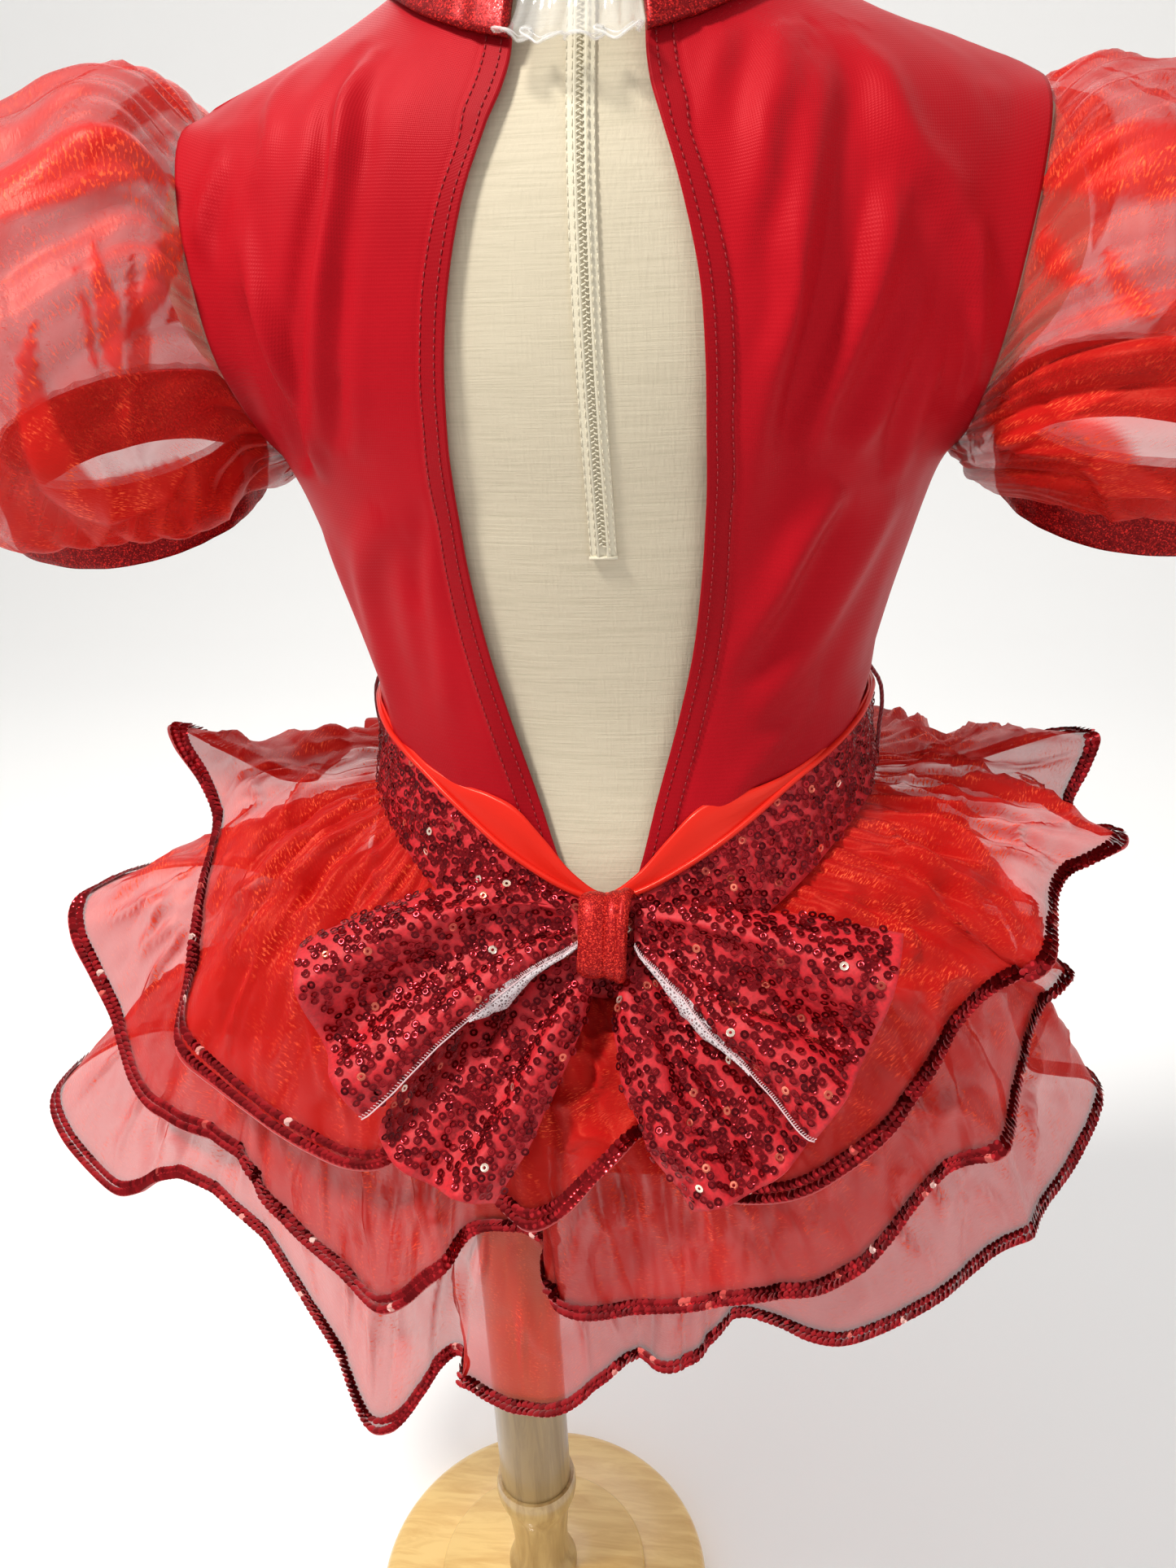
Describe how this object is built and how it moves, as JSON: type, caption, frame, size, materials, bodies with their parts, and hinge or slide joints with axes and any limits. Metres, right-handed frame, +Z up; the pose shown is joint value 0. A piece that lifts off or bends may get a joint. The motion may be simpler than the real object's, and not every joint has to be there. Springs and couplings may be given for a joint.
{
  "type": "skirted leotard on a limbless dress form and stand",
  "caption": "Child's skirted leotard with puffed organza sleeves, open back, sequin belt and bow, worn by a limbless dress form on a turned wooden stand.",
  "frame": {"origin": "middle of the stand base's underside, on the post's axis", "axes": "+Z up, -Y the garment's front, +Y its open back, +X the wearer's left"},
  "size_m": [0.5767, 0.3661, 0.927],
  "materials": {
    "knit": "matt-satin four-way stretch knit",
    "foil": "glitter foil lycra",
    "knot_foil": "glitter foil strip",
    "clear_plastic": "clear",
    "organza": "sheer, sparkling",
    "sequin": "jersey covered in small ring sequins",
    "satin": "glossy",
    "thread": "matt",
    "cotton": "matt, slubbed",
    "wood": "satin varnish"
  },
  "bodies": {
    "root": {"back_left": "knit", "back_right": "knit", "front": "knit", "gusset": "knit", "collar": "foil", "neck_strap": "clear_plastic", "sleeve_left": "organza", "sleeve_right": "organza", "cuff_left": "foil", "cuff_right": "foil", "belt": "sequin", "belt_facing": "satin", "belt_loop_left": "thread", "belt_loop_right": "thread", "skirt_tier_1": "organza", "skirt_tier_2": "organza", "skirt_tier_3": "organza", "bow_wing_left": "sequin", "bow_wing_right": "sequin", "bow_tail_left": "sequin", "bow_tail_right": "sequin", "bow_knot": "knot_foil", "dress_form": "cotton", "stand_base": "wood", "stand_disc": "wood", "stand_foot": "wood", "stand_post": "wood"}
  },
  "joints": []
}
